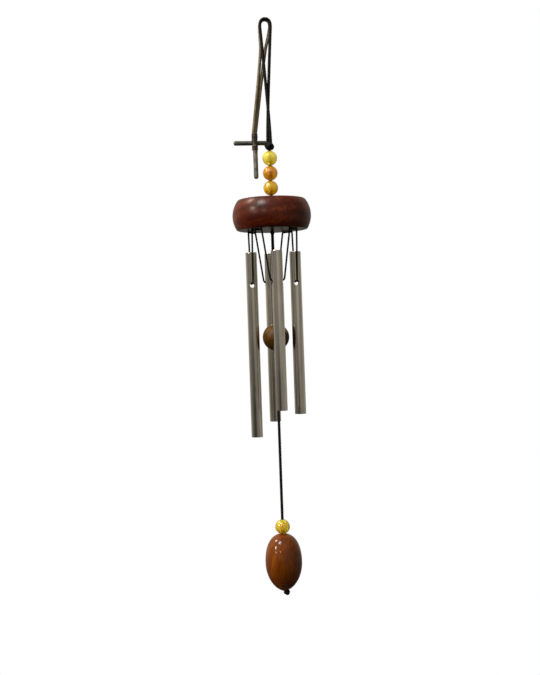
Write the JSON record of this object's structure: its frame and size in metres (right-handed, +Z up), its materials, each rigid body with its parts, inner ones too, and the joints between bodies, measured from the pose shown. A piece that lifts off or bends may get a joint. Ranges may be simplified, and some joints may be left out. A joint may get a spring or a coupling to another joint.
{
  "type": "wind chime",
  "caption": "Hanging wind chime: metal tubes laced under a turned wooden disc, a ball clapper between them, an oval wooden sail below, glass beads and a bound cross at the crown.",
  "frame": {"origin": "the point where the hanging loop bears on its hook", "axes": "+Z up along the hanging axis; the tubes hang on the X and Y axes; the hanging loop lies in the XZ plane, so its hook runs along Y"},
  "size_m": [0.059, 0.059, 0.4338],
  "materials": {
    "black_cord": "waxed black cord, tight strands",
    "tube_string": "thin dark waxed string",
    "bead_lemon": "translucent pale yellow bead",
    "bead_amber": "translucent amber bead",
    "bead_honey": "translucent honey-yellow bead",
    "bead_yellow": "cloudy yellow bead",
    "dark_wood": "glossy dark red-brown varnish over grain",
    "ball_wood": "satin golden-brown turned wood",
    "sail_wood": "glossy golden-brown varnish",
    "tube_metal": "polished tube with fine drawn lines",
    "gunmetal": "dark grey metal, semi-gloss",
    "suede": "grey-taupe suede lace",
    "brown_binding": "dark brown waxed thong, wrapped"
  },
  "bodies": {
    "root": {"hanging_loop": "black_cord"},
    "crown_knot": {"crown_knot": "black_cord"},
    "crown": {"bead_cord": "black_cord", "stopper_knot": "black_cord"},
    "bead_top": {"bead_top": "bead_lemon"},
    "bead_middle": {"bead_middle": "bead_amber"},
    "bead_bottom": {"bead_bottom": "bead_honey"},
    "disc": {"suspension_disc": "dark_wood", "lacing_back_right": "tube_string", "lacing_back_left": "tube_string", "lacing_front_left": "tube_string", "lacing_front_right": "tube_string"},
    "underside_knot": {"underside_knot": "black_cord"},
    "clapper": {"clapper_cord": "black_cord"},
    "clapper_ball": {"clapper_ball": "ball_wood"},
    "clapper_knot": {"clapper_knot": "black_cord"},
    "sail_line": {"sail_cord": "black_cord", "sail_knot": "black_cord"},
    "sail_bead": {"sail_bead": "bead_yellow"},
    "wind_sail": {"wind_sail": "sail_wood"},
    "lace": {"charm_lace": "suede"},
    "cross": {"charm_upright": "gunmetal", "charm_arm": "gunmetal", "charm_binding": "brown_binding"},
    "string_right": {"string_right": "tube_string"},
    "tube_right": {"tube_right": "tube_metal"},
    "string_back": {"string_back": "tube_string"},
    "tube_back": {"tube_back": "tube_metal"},
    "string_left": {"string_left": "tube_string"},
    "tube_left": {"tube_left": "tube_metal"},
    "string_front": {"string_front": "tube_string"},
    "tube_front": {"tube_front": "tube_metal"}
  },
  "joints": [
    {"name": "crown_sway", "type": "hinge", "parent": "root", "child": "crown_knot", "pos_m": [0, 0, -0.0944], "axis": [0, -1, 0], "range_deg": [-8, 20]},
    {"name": "crown_nod", "type": "hinge", "parent": "crown_knot", "child": "crown", "pos_m": [0, 0, -0.0944], "axis": [1, 0, 0], "range_deg": [-20, 20]},
    {"name": "bead_top_spin", "type": "hinge", "parent": "crown", "child": "bead_top", "pos_m": [0, 0, -0.1035], "axis": [0, 0, 1], "continuous": true},
    {"name": "bead_middle_spin", "type": "hinge", "parent": "crown", "child": "bead_middle", "pos_m": [0, 0, -0.1147], "axis": [0, 0, 1], "continuous": true},
    {"name": "bead_bottom_spin", "type": "hinge", "parent": "crown", "child": "bead_bottom", "pos_m": [0, 0, -0.1259], "axis": [0, 0, 1], "continuous": true},
    {"name": "disc_turn", "type": "hinge", "parent": "crown", "child": "disc", "pos_m": [0, 0, -0.1459], "axis": [0, 0, 1], "range_deg": [-90, 90]},
    {"name": "clapper_fore", "type": "hinge", "parent": "disc", "child": "underside_knot", "pos_m": [0, 0, -0.1592], "axis": [1, 0, 0], "range_deg": [-1.6, 1.6]},
    {"name": "clapper_side", "type": "hinge", "parent": "underside_knot", "child": "clapper", "pos_m": [0, 0, -0.1592], "axis": [0, -1, 0], "range_deg": [-1.6, 1.6]},
    {"name": "clapper_ball_spin", "type": "hinge", "parent": "clapper", "child": "clapper_ball", "pos_m": [0, 0, -0.23775], "axis": [0, 0, 1], "continuous": true},
    {"name": "sail_fore", "type": "hinge", "parent": "clapper", "child": "clapper_knot", "pos_m": [0, 0, -0.24955], "axis": [1, 0, 0], "range_deg": [-10, 10]},
    {"name": "sail_side", "type": "hinge", "parent": "clapper_knot", "child": "sail_line", "pos_m": [0, 0, -0.24955], "axis": [0, -1, 0], "range_deg": [-10, 10]},
    {"name": "sail_bead_spin", "type": "hinge", "parent": "sail_line", "child": "sail_bead", "pos_m": [0, 0, -0.3791], "axis": [0, 0, 1], "continuous": true},
    {"name": "sail_spin", "type": "hinge", "parent": "sail_line", "child": "wind_sail", "pos_m": [0, 0, -0.4063], "axis": [0, 0, 1], "continuous": true},
    {"name": "lace_swing", "type": "hinge", "parent": "root", "child": "lace", "pos_m": [0, 0.0032, -0.003], "axis": [0, -1, 0], "range_deg": [-15, 0]},
    {"name": "cross_turn", "type": "hinge", "parent": "lace", "child": "cross", "pos_m": [-0.0105, 0.0032, -0.084], "axis": [0, 0, 1], "range_deg": [0, 60]},
    {"name": "tube_right_swing", "type": "hinge", "parent": "disc", "child": "string_right", "pos_m": [0.0167, 0, -0.15972], "axis": [0, -1, 0], "range_deg": [-1.6, 20]},
    {"name": "tube_right_tip", "type": "hinge", "parent": "string_right", "child": "tube_right", "pos_m": [0.0167, 0, -0.1961], "axis": [0, -1, 0], "range_deg": [-3, 15]},
    {"name": "tube_back_swing", "type": "hinge", "parent": "disc", "child": "string_back", "pos_m": [0, 0.0167, -0.15972], "axis": [1, 0, 0], "range_deg": [-1.6, 20]},
    {"name": "tube_back_tip", "type": "hinge", "parent": "string_back", "child": "tube_back", "pos_m": [0, 0.0167, -0.1953], "axis": [1, 0, 0], "range_deg": [-3, 15]},
    {"name": "tube_left_swing", "type": "hinge", "parent": "disc", "child": "string_left", "pos_m": [-0.0167, 0, -0.15972], "axis": [0, -1, 0], "range_deg": [-20, 1.6]},
    {"name": "tube_left_tip", "type": "hinge", "parent": "string_left", "child": "tube_left", "pos_m": [-0.0167, 0, -0.197], "axis": [0, -1, 0], "range_deg": [-15, 3]},
    {"name": "tube_front_swing", "type": "hinge", "parent": "disc", "child": "string_front", "pos_m": [0, -0.0167, -0.15972], "axis": [1, 0, 0], "range_deg": [-20, 1.6]},
    {"name": "tube_front_tip", "type": "hinge", "parent": "string_front", "child": "tube_front", "pos_m": [0, -0.0167, -0.1954], "axis": [1, 0, 0], "range_deg": [-15, 3]}
  ]
}
